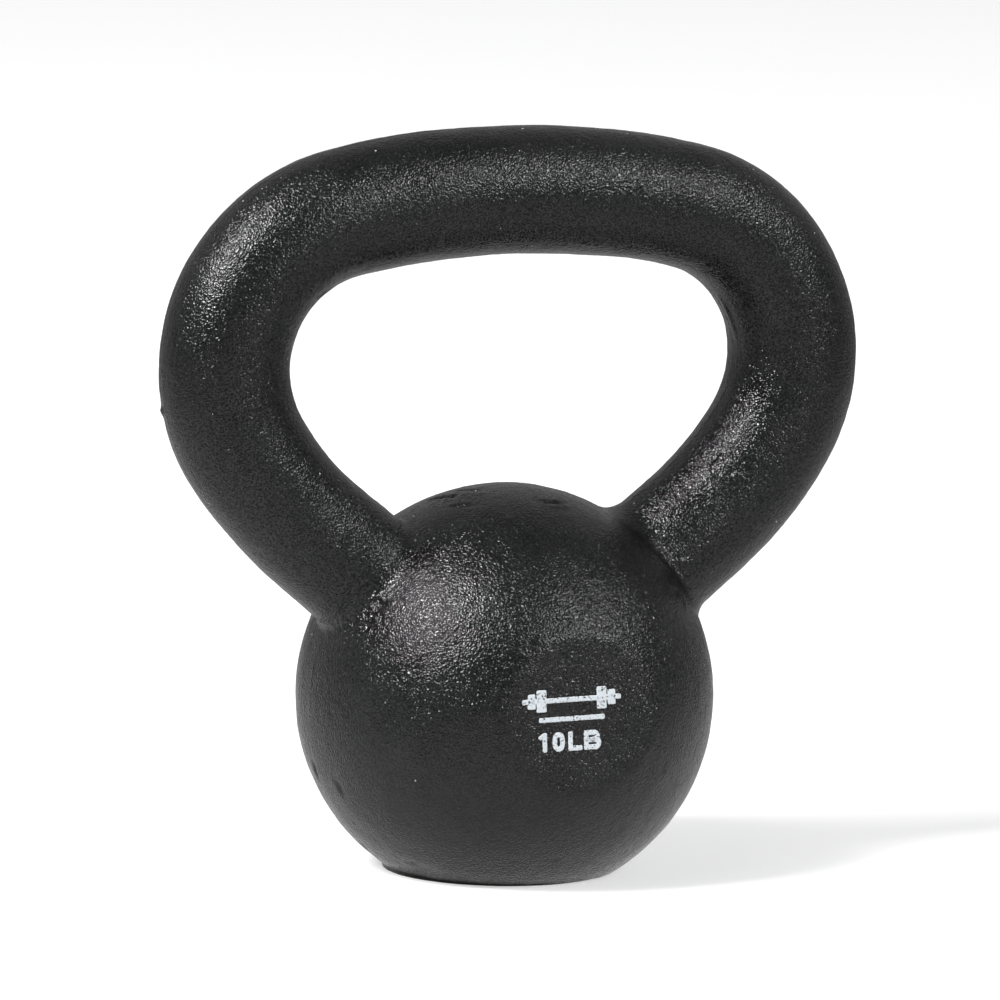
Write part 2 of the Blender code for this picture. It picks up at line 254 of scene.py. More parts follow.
@dataclass(frozen=True)
class HandlePath:
    """Centreline of the handle in the XZ plane, alike on both sides of the middle of the grip.

    Distance along it is counted from the middle of the grip, negative to the left:
    crown arc, corner arc, side arc, then a straight stretch that points at the ball's middle.
    """

    ball: Ball
    crown_radius: float = 0.195
    corner_radius: float = 0.0355
    side_radius: float = 0.0842
    span: float = 0.1378
    straight: float = 0.011
    grip_radius: float = 0.0145
    horn_radius: float = 0.01475
    grip_height: float = field(default_factory=lambda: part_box("grip")[1].z)

    @cached_property
    def crown_centre(self) -> Array:
        """Centre of the grip's slow arc, as (x, z)."""
        return np.array((0.0, self.grip_height - self.grip_radius - self.crown_radius))

    @cached_property
    def corner_centre(self) -> Array:
        """Centre of the corner arc, which touches the crown arc from inside, as (x, z)."""
        x = self.span / 2 - self.corner_radius
        apart = self.crown_radius - self.corner_radius
        return np.array((x, self.crown_centre[1] + math.sqrt(apart**2 - x**2)))

    @cached_property
    def side_centre(self) -> Array:
        """Centre of the side arc, as (x, z).

        It is as far from the corner's centre as the two radii differ, and as far from the ball's
        middle as the long side of the right triangle on the side radius and the straight line.
        """
        ball = self.ball.centre[[0, 2]]
        from_corner = self.side_radius - self.corner_radius
        from_ball = math.hypot(self.side_radius, self.ball.iron_radius + self.straight)
        apart = math.dist(self.corner_centre, ball)
        towards = (self.corner_centre - ball) / apart
        beside = np.array((-towards[1], towards[0]))
        along = (from_ball**2 - from_corner**2 + apart**2) / (2 * apart)
        return ball + towards * along + beside * math.sqrt(from_ball**2 - along**2)

    @cached_property
    def turns(self) -> Array:
        """Turn from the vertical where the crown, corner and side arcs end."""
        crown = math.atan2(*(self.corner_centre - self.crown_centre))
        corner = math.atan2(*(self.corner_centre - self.side_centre))
        offset = self.side_centre - self.ball.centre[[0, 2]]
        horn = math.atan2(*offset) + math.asin(self.side_radius / math.hypot(*offset))
        return np.array((crown, corner, horn + math.pi / 2))

    @cached_property
    def horn_angle(self) -> float:
        """Angle between the straight stretch and the vertical."""
        return self.turns[2] - math.pi / 2

    @cached_property
    def joints(self) -> Array:
        """Distances along the path at which the crown, corner and side arcs end."""
        radii = np.array((self.crown_radius, self.corner_radius, self.side_radius))
        return np.cumsum(radii * np.diff(self.turns, prepend=0.0))

    @cached_property
    def length(self) -> float:
        """Distance along the path, from the middle of the grip to the middle of the ball."""
        return self.joints[2] + self.straight + self.ball.iron_radius

    def follow(self, along: Array) -> tuple[Array, Array]:
        """Find the centreline at given distances along it.

        On an arc the place is centre + radius (sin turn, cos turn), where turn grows by distance
        over radius. On the straight stretch it goes on at the last turn.

        Args:
            along: Distances from the middle of the grip, negative to the left.

        Returns:
            The places (x, y, z), and the outward directions, away from the window for the hand.
        """
        side = np.where(along < 0, -1.0, 1.0)
        far = np.abs(along)
        starts = np.concatenate(((0.0,), self.joints))
        first_turns = np.concatenate(((0.0,), self.turns))
        radii = (self.crown_radius, self.corner_radius, self.side_radius)
        centres = (self.crown_centre, self.corner_centre, self.side_centre)
        stretch = np.searchsorted(self.joints, far, side="right")
        turn, x, z = (np.zeros_like(far) for _ in range(3))
        for index, (radius, centre) in enumerate(zip(radii, centres)):
            here = stretch == index
            turn[here] = first_turns[index] + (far[here] - starts[index]) / radius
            sideways, upwards = polar(radius, turn[here])
            x[here] = centre[0] + sideways
            z[here] = centre[1] + upwards
        here = stretch == 3
        turn[here] = self.turns[2]
        sideways, upwards = polar(self.length - far[here], self.horn_angle)
        x[here] = sideways
        z[here] = self.ball.centre[2] + upwards
        outward = np.stack((side * np.sin(turn), np.zeros_like(far), np.cos(turn)), axis=-1)
        return np.stack((side * x, np.zeros_like(far), z), axis=-1), outward

    def radius_at(self, along: Array) -> Array:
        """Radius of the tube, which grows along the corners from the grip's to the horn's."""
        growth = smooth_step(self.joints[0], self.joints[1], np.abs(along))
        return self.grip_radius + (self.horn_radius - self.grip_radius) * growth


# ---------------------------------------------------------------- relief


class Shape(Enum):
    """How a mark in the casting is shaped."""

    MOUND = "smooth hump, or a dent where its height is negative"
    RAGGED = "patch of torn, uneven lumps"
    RING = "low ring with a dip inside it"


@dataclass(frozen=True)
class Mark:
    """One mark in the casting: where it is, which way it runs, and its sizes.

    The length and width are half sizes, and the height is how far it stands out, all in mm.
    """

    place: Array
    along: Array
    length: float
    width: float
    height: float
    shape: Shape
    reach: float = 2.7
    ring_gain: float = 2.7
    torn_gain: float = 1.8
    torn: Noise = Noise(1.9 * MM, 71, 2)

    def at(self, places: Array) -> Array:
        """Height at each place: a bell curve, longer along one direction than across it.

        With a the offset along and b the rest of the offset, and n = (a / length)^2 +
        (b / width)^2, a mound is height exp(-n), a ring is ring_gain height n exp(-n), and a
        ragged patch is a mound times uneven noise. It ends at reach lengths or widths.

        Args:
            places: Places in metres, along the last axis.

        Returns:
            The heights in metres.
        """
        length, width = self.length * MM, self.width * MM
        offset = places - self.place
        near = np.sum(offset**2, axis=-1) < (self.reach * max(length, width)) ** 2
        offset = offset[near]
        a = offset @ self.along
        b = np.sum(offset**2, axis=-1) - a**2
        spread = (a / length) ** 2 + b / width**2
        height = self.height * MM * np.exp(-spread)
        if self.shape is Shape.RAGGED:
            height *= self.torn_gain * self.torn.at(places[near])
        if self.shape is Shape.RING:
            height *= self.ring_gain * spread
        total = np.zeros(places.shape[:-1])
        total[near] = height
        return total


@dataclass(frozen=True)
class Relief:
    """Everything that stands out from the smooth skin, as a height at a place in space.

    Each of the waves is a height and its noise: the unevenness of the mould, its shorter swell,
    the peel of the coat and the coarsest of its grain. The line where the two halves of the mould
    part drifts between nothing and its most.
    """

    ball: Ball
    path: HandlePath
    waves: tuple = (
        (0.15 * MM, Noise(17 * MM, 1)),
        (0.07 * MM, Noise(6 * MM, 2)),
        (0.038 * MM, Noise(2.6 * MM, 3)),
        (0.036 * MM, Noise(1.3 * MM, 4)),
    )
    parting_height: float = 0.10 * MM
    parting_width: float = 0.6 * MM
    parting_share: float = 0.5
    parting_gain: float = 0.8
    parting_most: float = 1.2
    parting_drift: Noise = Noise(9 * MM, 5)
    path_step: float = 0.01 * MM

    def on_ball(
        self,
        azimuth: float,
        elevation: float,
        *sizes: float,
        lean: float = 0.0,
        shape: Shape = Shape.MOUND,
    ) -> Mark:
        """Put a mark on the ball.

        Args:
            azimuth: Degrees from the front towards +X.
            elevation: Degrees above the horizontal through the ball's middle.
            sizes: Its half length, half width and height, in mm.
            lean: Degrees from level to its long direction, seen from outside.
            shape: Its shape.

        Returns:
            The mark.
        """
        outward = direction(math.radians(azimuth), math.radians(elevation))
        along = turned(*level_and_rise(outward), math.radians(lean))
        return Mark(self.ball.base(outward), along, *sizes, shape)

    def on_tube(
        self,
        distance: float,
        around: float,
        *sizes: float,
        lean: float = 0.0,
        shape: Shape = Shape.MOUND,
    ) -> Mark:
        """Put a mark on the handle.

        Args:
            distance: Distance along the path from the middle of the grip, in mm.
            around: Degrees round the tube, from outward towards the front.
            sizes: Its half length, half width and height, in mm.
            lean: Degrees from the path to its long direction.
            shape: Its shape.

        Returns:
            The mark.
        """
        steps = distance * MM + np.array((0.0, self.path_step))
        middle, outward = self.path.follow(steps)
        across = turned(outward, FRONT, np.full(2, math.radians(around)))
        onward = unit(middle[1] - middle[0])
        along = turned(onward, np.cross(onward, across[0]), math.radians(lean))
        place = middle[0] + across[0] * self.path.radius_at(steps)[0]
        return Mark(place, along, *sizes, shape)

    @cached_property
    def marks(self) -> tuple[Mark, ...]:
        """The marks of this casting: its unevenness, then its dents, nubs, lumps and gashes."""
        ball, tube = self.on_ball, self.on_tube
        ragged, ring = Shape.RAGGED, Shape.RING
        return (
            # slow unevenness of the whole casting
            ball(-35, 80, 22, 22, 0.70),
            ball(-95, -10, 18, 30, 0.15),
            ball(50, -35, 20, 20, 0.10),
            tube(-132, 0, 30, 15, -1.00),
            tube(-76, 0, 16, 12, 0.32),
            tube(-30, 0, 24, 12, 0.35),
            tube(47, 0, 12, 10, -0.15),
            tube(33, 180, 13, 9, -0.55),
            # gashes on the left of the ball, by the parting line
            ball(-93, -20, 2.0, 0.6, -0.55, lean=80),
            ball(-79, -23, 2.0, 0.8, -0.45, lean=-70),
            ball(-92, -46, 1.6, 1.0, -0.50, lean=60),
            # streaks on top of the ball, and their torn edges
            ball(-98, 71, 5.0, 0.8, -0.70, lean=35),
            ball(-59, 69, 3.4, 0.7, -0.50, lean=20),
            ball(-90, 78, 4.0, 0.6, -0.45, lean=30),
            ball(21, 72, 3.0, 0.9, -0.65, lean=-20),
            ball(24, 70, 3.0, 0.8, 0.30, lean=-20),
            ball(-21, 64, 0.8, 0.8, 0.20),
            ball(-84, 73, 8.0, 3.0, 0.20, lean=28, shape=ragged),
            ball(22, 72, 4.5, 1.6, 0.20, lean=-20, shape=ragged),
            # lumps round the root of the left horn
            ball(-68, 31, 5.0, 5.5, 0.25, lean=60, shape=ragged),
            ball(-76, 24, 6.5, 3.0, 0.18, lean=10, shape=ragged),
            ball(-75, 34, 1.1, 0.8, 0.35, lean=30),
            ball(-68, 24, 1.1, 0.9, -0.50),
            ball(-65, 30, 1.0, 0.8, -0.35),
            ball(-70, 31, 1.2, 0.7, 0.30, lean=40),
            # lumps round the root of the right horn
            ball(48, 39, 2.2, 1.0, 0.28, lean=-60),
            ball(53, 33, 5.0, 2.5, 0.25, lean=-60, shape=ragged),
            # nubs and pits on the front of the ball
            ball(11, 41, 1.3, 0.9, 0.22, lean=20),
            ball(-18, -13, 1.8, 0.7, 0.24),
            ball(-6, -16, 3.0, 1.4, 0.30, shape=ragged),
            ball(-5, -17, 1.4, 0.8, -0.25),
            ball(17, -19, 1.1, 0.6, -0.30, lean=-50),
            ball(30, -15, 1.0, 0.6, -0.28, lean=-60),
            ball(-1, -43, 1.1, 0.7, -0.30, lean=-40),
            ball(-12, -27, 0.8, 0.6, -0.22),
            ball(-16, -19, 0.8, 0.6, -0.20),
            ball(-23, 2, 1.5, 1.5, 0.16, shape=ring),
            ball(-15, 19, 1.3, 0.8, 0.24, lean=30),
            ball(-60, -48, 1.3, 0.7, -0.25, lean=20),
            # marks on the back of the ball
            ball(150, 10, 5.0, 3.0, 0.20, lean=40, shape=ragged),
            ball(170, -30, 1.4, 0.8, -0.35, lean=60),
            ball(215, 35, 2.2, 0.8, -0.30, lean=20),
            ball(120, -12, 1.2, 1.0, 0.25),
            ball(92, -25, 2.0, 0.7, -0.40, lean=80),
            ball(100, 60, 4.0, 0.7, -0.30, lean=30),
            # nubs, pits and torn spots along the handle
            tube(-96, 347, 0.9, 0.7, 0.45),
            tube(-60, 149, 3.5, 1.2, 0.25, lean=15, shape=ragged),
            tube(74, 171, 9.0, 0.8, 0.40),
            tube(123, 137, 1.9, 0.6, -0.35, lean=10),
            tube(123.4, 115, 1.2, 0.9, 0.30, lean=60),
            tube(123.8, 120, 0.9, 0.7, -0.30),
            tube(132, 113, 1.4, 0.9, 0.30, lean=30),
            tube(128, 132, 2.4, 0.5, 0.20, lean=-60),
            tube(126, 122, 9.0, 7.0, 0.08, shape=ragged),
            tube(138, 100, 7.0, 6.0, 0.08, shape=ragged),
            tube(147, 93, 1.2, 0.8, 0.32, lean=40),
            tube(149, 81, 1.6, 0.8, 0.35, lean=70),
            tube(-118, 250, 1.6, 0.8, -0.30, lean=20),
            tube(15, 230, 2.0, 0.8, 0.20, lean=10),
            tube(95, 285, 5.0, 4.0, 0.16, shape=ragged),
        )

    def at(self, places: Array) -> Array:
        """Height of the skin over its smooth base: waves, the parting line, and the marks.

        The parting line is a bell curve across the plane y = 0, and comes and goes along it.

        Args:
            places: Places in metres, along the last axis.

        Returns:
            The heights in metres.
        """
        height = sum(high * noise.at(places) for high, noise in self.waves)
        line = np.exp(-((places[..., 1] / self.parting_width) ** 2))
        drift = self.parting_share + self.parting_gain * self.parting_drift.at(places)
        height += self.parting_height * line * np.clip(drift, 0.0, self.parting_most)
        for mark in self.marks:
            height += mark.at(places)
        return height

    def raised(self, base: Array, outward: Array) -> Array:
        """Places of a smooth base, pushed outwards by the relief."""
        return base + outward * self.at(base)[..., None]


# ---------------------------------------------------------------- meshes


def grid_quads(rows: int, columns: int, loop: bool = False) -> Array:
    """Number the quads of a grid that is closed round its columns.

    Args:
        rows: Count of its rows.
        columns: Count of its columns.
        loop: Whether the last row joins the first.

    Returns:
        Four vertex numbers for each quad.
    """
    number = np.arange(rows * columns).reshape(rows, columns)
    beside = np.roll(number, -1, axis=1)
    below = np.roll(number, -1, axis=0)
    corner = np.roll(below, -1, axis=1)
    quads = np.stack((number, below, corner, beside), axis=-1)
    return quads[: rows if loop else rows - 1].reshape(-1, 4)


def end_fans(rows: int, columns: int) -> Array:
    """Number the triangles that close a grid's two ends, round two poles numbered after it.

    Args:
        rows: Count of its rows.
        columns: Count of its columns.

    Returns:
        Three vertex numbers for each triangle.
    """
    number = np.arange(rows * columns).reshape(rows, columns)
    fans = []
    for pole, row, turn in ((0, 0, 1), (1, -1, -1)):
        spokes = (number[row], np.roll(number[row], -1), np.full(columns, rows * columns + pole))
        fans.append(np.stack(spokes, axis=-1)[:, ::turn])
    return np.concatenate(fans)


def rows_by_columns(down: Array, kept: Array) -> Array:
    """Cross each place's step down the rows with its step along the closed columns."""
    return np.cross(down, np.roll(kept, -1, axis=1) - np.roll(kept, 1, axis=1))


def winding(crossed: Array, outward: Array) -> int:
    """Return 1 if rows crossed with columns point outwards, and -1 if they point inwards."""
    return int(np.sign(np.sum(crossed * outward)))


@dataclass(frozen=True)
class Patch:
    """A grid of places, closed round its columns, with a spare row beyond each end.

    The spare rows only give the end rows the same shading as the neighbouring piece's.
    """

    places: Array
    outward: Array

    @cached_property
    def crossed(self) -> Array:
        """Rows crossed with columns at each kept place."""
        return rows_by_columns(self.places[2:] - self.places[:-2], self.places[1:-1])

    def build(self, name: str) -> bpy.types.Object:
        """Make a closed mesh: quads between rows, and a flat fan over each end.

        Args:
            name: Name of the new object.

        Returns:
            The object, which stands at the origin.
        """
        kept = self.places[1:-1]
        rows, columns, _ = kept.shape
        turn = winding(self.crossed, self.outward[1:-1])
        quads = grid_quads(rows, columns)[:, ::turn]
        fans = end_fans(rows, columns)[:, ::turn]
        middles = np.stack((kept[0].mean(axis=0), kept[-1].mean(axis=0)))
        vertices = np.concatenate((kept.reshape(-1, 3), middles))
        mesh = mesh_of(name, vertices, [quads, fans])
        mesh.polygons.foreach_set("use_smooth", np.arange(len(mesh.polygons)) < len(quads))
        shading = np.zeros((len(mesh.loops), 3))
        corner = quads.reshape(-1)
        on_end = (corner < columns) | (corner >= (rows - 1) * columns)
        normals = unit(self.crossed).reshape(-1, 3) * turn
        shading[: len(corner)][on_end] = normals[corner[on_end]]
        mesh.normals_split_custom_set(shading)
        return placed(name, mesh)


def mesh_of(name: str, vertices: Array, faces: list[Array]) -> bpy.types.Mesh:
    """Fill a mesh from whole arrays.

    Args:
        name: Name of the mesh.
        vertices: Places, one row each.
        faces: Arrays of vertex numbers, one array for each count of corners.

    Returns:
        The new mesh.
    """
    mesh = bpy.data.meshes.new(name)
    corners = np.concatenate([group.reshape(-1) for group in faces]).astype(np.int32)
    sizes = np.concatenate([np.full(len(group), group.shape[1]) for group in faces])
    starts = np.concatenate(((0,), np.cumsum(sizes)[:-1])).astype(np.int32)
    mesh.vertices.add(len(vertices))
    mesh.vertices.foreach_set("co", vertices.astype(np.float32).reshape(-1))
    mesh.loops.add(len(corners))
    mesh.loops.foreach_set("vertex_index", corners)
    mesh.polygons.add(len(sizes))
    mesh.polygons.foreach_set("loop_start", starts)
    mesh.update(calc_edges=True)
    mesh.validate()
    return mesh


def placed(name: str, mesh: bpy.types.Mesh) -> bpy.types.Object:
    """Link a mesh to the scene.

    Args:
        name: Name of the new object.
        mesh: Its mesh.

    Returns:
        The object, which stands at the origin.
    """
    thing = bpy.data.objects.new(name, mesh)
    bpy.context.scene.collection.objects.link(thing)
    return thing


def ring_angles(count: int) -> Array:
    """Angles once round a circle, without the last, which is the first again."""
    return np.arange(count) * 2 * math.pi / count


def with_spares(start: float, end: float, rows: int) -> Array:
    """Even steps from start to end, with a spare step before and after."""
    step = (end - start) / (rows - 1)
    return start + step * np.arange(-1, rows + 1)


# ---------------------------------------------------------------- finishes


class NodeTree:
    """The nodes of a material or of the world, with short ways to add and join them."""

    def __init__(
        self, owner: bpy.types.Material | bpy.types.World, shader: str, output: str, places: str
    ) -> None:
        """Take an owner's nodes.

        Args:
            owner: The material or the world.
            shader: Name of its first shader node.
            output: Name of its output node.
            places: The coordinates that its patterns read.
        """
        owner.use_nodes = True
        self.tree = owner.node_tree
        self.shader = self.tree.nodes[shader]
        self.output = self.tree.nodes[output]
        self.place = self.add("ShaderNodeTexCoord").outputs[places]

    def add(self, kind: str, settings: dict | None = None, **inputs: Value) -> bpy.types.Node:
        """Add a node.

        Args:
            kind: Blender's name of the node type.
            settings: Properties of the node itself.
            inputs: Values or sockets for its inputs, by name with _ for a space, or by _number.

        Returns:
            The node.
        """
        node = self.tree.nodes.new(kind)
        for key, value in (settings or {}).items():
            setattr(node, key, value)
        for key, value in inputs.items():
            socket = node.inputs[int(key[1:]) if key[1:].isdigit() else key.replace("_", " ")]
            self.join(value, socket)
        return node

    def join(self, value: Value, socket: Socket) -> None:
        """Link a socket, or set a plain value.

        Args:
            value: The value, or the socket that gives it.
            socket: The input that takes it.
        """
        if isinstance(value, bpy.types.NodeSocket):
            self.tree.links.new(value, socket)
        else:
            socket.default_value = value

    def set_shader(self, **inputs: Value) -> None:
        """Link or set inputs of the shader, by name with _ for a space."""
        for key, value in inputs.items():
            self.join(value, self.shader.inputs[key.replace("_", " ")])

    def show(self, seen: Socket, other: Socket) -> None:
        """Show one shader to the eye, and another one to every other ray.

        Args:
            seen: The shader for the eye.
            other: The shader for other rays.
        """
        eye = self.add("ShaderNodeLightPath").outputs["Is Camera Ray"]
        mixed = self.add("ShaderNodeMixShader", _0=eye, _1=other, _2=seen)
        self.join(mixed.outputs["Shader"], self.output.inputs["Surface"])

    def axes(self) -> bpy.types.bpy_prop_collection:
        """The place's X, Y and Z."""
        return self.add("ShaderNodeSeparateXYZ", Vector=self.place).outputs

    def noise(self, size: float, detail: float = 2.0, rough: float = 0.5) -> Socket:
        """Cloudy noise from 0 to 1.

        Args:
            size: Size of its features.
            detail: How many finer octaves are on top.
            rough: Share of each finer octave.

        Returns:
            The noise.
        """
        node = self.add(
            "ShaderNodeTexNoise", Vector=self.place, Scale=1 / size, Detail=detail, Roughness=rough
        )
        return node.outputs["Fac"]

    def from_points(self, spacing: float) -> Socket:
        """Distance to the nearest of many scattered points, in units of their spacing."""
        return self.add("ShaderNodeTexVoronoi", Vector=self.place, Scale=1 / spacing).outputs["Distance"]

    def math(self, operation: str, first: Value, second: Value) -> Socket:
        """Combine two numbers."""
        node = self.add("ShaderNodeMath", {"operation": operation}, _0=first, _1=second)
        return node.outputs["Value"]

    def scale(
        self,
        value: Value,
        low: float,
        high: float,
        to_low: float = 0.0,
        to_high: float = 1.0,
        curve: str = "LINEAR",
    ) -> Socket:
        """Carry a range of values onto another, held at its ends.

        Args:
            value: The value.
            low: Start of its range.
            high: End of its range.
            to_low: Result at the start.
            to_high: Result at the end.
            curve: Blender's name of the curve between them.

        Returns:
            The carried value.
        """
        node = self.add(
            "ShaderNodeMapRange",
            {"interpolation_type": curve},
            Value=value,
            From_Min=low,
            From_Max=high,
            To_Min=to_low,
            To_Max=to_high,
        )
        return node.outputs["Result"]

    def mix(self, share: Value, first: Value, second: Value) -> Socket:
        """Blend two colours."""
        node = self.add("ShaderNodeMix", {"data_type": "RGBA"}, Factor=share, _6=first, _7=second)
        return node.outputs[2]

    def bump(self, height: Value, depth: float, under: Socket | None = None) -> Socket:
        """Turn a height from 0 to 1 into a normal.

        Args:
            height: The height.
            depth: What a height of 1 stands for.
            under: Normal of the surface that it lies on.

        Returns:
            The normal.
        """
        node = self.add("ShaderNodeBump", Strength=1.0, Distance=depth, Height=height)
        if under is not None:
            self.join(under, node.inputs["Normal"])
        return node.outputs["Normal"]


class NodeSheet(NodeTree):
    """A new material with a Principled shader, whose patterns read Object coordinates."""

    def __init__(self, name: str) -> None:
        """Start the material."""
        self.material = bpy.data.materials.new(name)
        super().__init__(self.material, "Principled BSDF", "Material Output", "Object")


@dataclass(frozen=True)
class TexturedCoat:
    """Black powder coat over sand-cast iron: leathery grain, pin-holes and specks of dust.

    A span holds the two ends of a range: of noise, of distance to a point or of height above the
    ground. The coat is worn thin at the ground. Its grain has painted shade in its dips: a lower
    specular level there than on its tops, the less so the lower it lies.
    """

    name: str = "textured_coat"
    colour: tuple = (0.0045, 0.0045, 0.0046, 1.0)
    faded: tuple = (0.0075, 0.0075, 0.0077, 1.0)
    worn: tuple = (0.012, 0.0092, 0.0078, 1.0)
    dust: tuple = (0.40, 0.41, 0.42, 1.0)
    leather_size: float = 0.72 * MM
    leather_depth: float = 0.09 * MM
    grain_size: float = 0.39 * MM
    grain_depth: float = 0.22 * MM
    grain_detail: float = 0.5
    patch_size: float = 9 * MM
    patch_detail: tuple = (3.0, 0.6)
    faded_span: tuple = (0.35, 0.65)
    hole_spacing: float = 4.5 * MM
    hole_depth: float = 0.12 * MM
    hole_span: tuple = (0.03, 0.07)
    dust_spacing: float = 8.0 * MM
    dust_span: tuple = (0.026, 0.034)
    wear_waver: float = 1.2 * MM
    wear_span: tuple = (1.2 * MM, 2.2 * MM)
    wear_share: float = 0.80
    rough_span: tuple = (0.3, 0.7)
    rough: tuple = (0.11, 0.19)
    gloss: float = 1.46
    level: float = 0.5
    # painted shade in the dips of the grain, as a lower specular level
    dip_shade: float = 0.25
    dip_shade_span: tuple = (0.36, 0.64)
    low_span: tuple = (15 * MM, 50 * MM)
    low_share: float = 0.3

    def relief(self, sheet: NodeSheet, grain: Socket) -> Socket:
        """Lay the leathery waves, the grain and the pin-holes one on another.

        Args:
            sheet: The coat's nodes.
            grain: Height of the grain.

        Returns:
            The normal.
        """
        leather = sheet.noise(self.leather_size, self.grain_detail)
        hole = sheet.scale(sheet.from_points(self.hole_spacing), *self.hole_span)
        normal = sheet.bump(leather, self.leather_depth)
        normal = sheet.bump(grain, self.grain_depth, normal)
        return sheet.bump(hole, self.hole_depth, normal)

    def make(self) -> bpy.types.Material:
        """Build the material.

        Returns:
            The material.
        """
        sheet = NodeSheet(self.name)
        grain = sheet.noise(self.grain_size, self.grain_detail)
        patches = sheet.noise(self.patch_size, *self.patch_detail)
        height = sheet.axes()["Z"]
        edge = sheet.math("ADD", height, sheet.math("MULTIPLY", patches, self.wear_waver))
        wear = sheet.scale(edge, *self.wear_span, self.wear_share, 0.0)
        dust = sheet.scale(sheet.from_points(self.dust_spacing), *self.dust_span, 1.0, 0.0)
        colour = sheet.mix(sheet.scale(patches, *self.faded_span), self.colour, self.faded)
        colour = sheet.mix(wear, colour, self.worn)
        # painted shade in the dips of the grain: a lower specular level there, less of it low down
        dip_shade = sheet.scale(grain, *self.dip_shade_span, -self.dip_shade, self.dip_shade)
        low = sheet.scale(height, *self.low_span, self.low_share, 1.0)
        level = sheet.math("ADD", sheet.math("MULTIPLY", dip_shade, low), self.level)
        sheet.set_shader(
            Base_Color=sheet.mix(dust, colour, self.dust),
            Roughness=sheet.scale(patches, *self.rough_span, *self.rough),
            Normal=self.relief(sheet, grain),
            Specular_IOR_Level=sheet.math("MULTIPLY", level, sheet.math("SUBTRACT", 1.0, wear)),
            IOR=self.gloss,
        )
        return sheet.material


@dataclass(frozen=True)
class PrintedInk:
    """Off-white ink pressed onto the grain, with pin-holes where it missed a dip."""

    name: str = "printed_ink"
    colour: tuple = (0.66, 0.71, 0.75, 1.0)
    bare: tuple = (0.02, 0.02, 0.021, 1.0)
    hole_size: float = 0.50 * MM
    hole_detail: tuple = (2.0, 0.6)
    hole_span: tuple = (0.35, 0.41)
    grain_size: float = 0.55 * MM
    grain_depth: float = 0.05 * MM
    rough_span: tuple = (0.3, 0.7)
    rough: tuple = (0.4, 0.6)

    def make(self) -> bpy.types.Material:
        """Build the material.

        Returns:
            The material.
        """
        sheet = NodeSheet(self.name)
        cover = sheet.noise(self.hole_size, *self.hole_detail)
        hole = sheet.scale(cover, *self.hole_span, 1.0, 0.0)
        sheet.set_shader(
            Base_Color=sheet.mix(hole, self.colour, self.bare),
            Roughness=sheet.scale(cover, *self.rough_span, *self.rough),
            Normal=sheet.bump(sheet.noise(self.grain_size), self.grain_depth),
        )
        return sheet.material


# ---------------------------------------------------------------- sub-assemblies


class Slot(Enum):
    """The record's material slots."""

    COAT = "coated_iron"
    INK = "white_ink"


def hand_over(piece: bpy.types.Object, material: bpy.types.Material, slot: Slot, node: str) -> None:
    """Dress a piece, ride it on the casting and let it stand for a CAD node.

    Args:
        piece: The new object.
        material: Its finish.
        slot: The record's slot that the finish belongs to; not used.
        node: The CAD node that it replaces.
    """
    piece.data.materials.append(material)
    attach(piece, "root")
    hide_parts(node)
    LOG.info("%s: %d faces, for %s", piece.name, len(piece.data.polygons), node)


@dataclass(frozen=True)
class Bell:
    """The ball."""

    ball: Ball
    path: HandlePath
    relief: Relief
    coat: bpy.types.Material
    rows: int = 248
    columns: int = 400

    def circles(self, across: Array, around: Array) -> Array:
        """Outward directions on circles that pass from the left horn's root to the right horn's.

        Each circle is the sphere's cut with a plane whose normal turns evenly from the left
        horn's axis (across = -1) by way of +X (0) to the right horn's (1), at a distance from the
        middle of sin(across (90 degrees - ring angle)) radii.

        Args:
            across: Position between the two horns, one for each row.
            around: Angle round the circle from its top, towards the front, one for each column.

        Returns:
            Unit vectors, as (rows, columns, 3).
        """
        quarter = math.pi / 2
        turn = quarter - across * (quarter - self.path.horn_angle)
        distance = np.sin(across * (quarter - self.ball.ring_angle))
        normal = np.stack((np.sin(turn), np.zeros_like(turn), np.cos(turn)), axis=-1)
        top = np.stack((-np.cos(turn), np.zeros_like(turn), np.sin(turn)), axis=-1)
        radius = np.sqrt(1 - distance**2)
        spoke = turned(top[:, None], FRONT, np.broadcast_to(around, (len(turn), len(around))))
        return distance[:, None, None] * normal[:, None] + radius[:, None, None] * spoke

    def skin(self, outward: Array) -> Array:
        """Places on the finished skin in each outward direction."""
        return self.relief.raised(self.ball.base(outward), outward)

    def build(self) -> None:
        """Make the ball's skin between the two horn roots."""
        outward = self.circles(with_spares(-1.0, 1.0, self.rows), ring_angles(self.columns))
        piece = Patch(self.skin(outward), outward).build("bell_skin")
        hand_over(piece, self.coat, Slot.COAT, "bell")


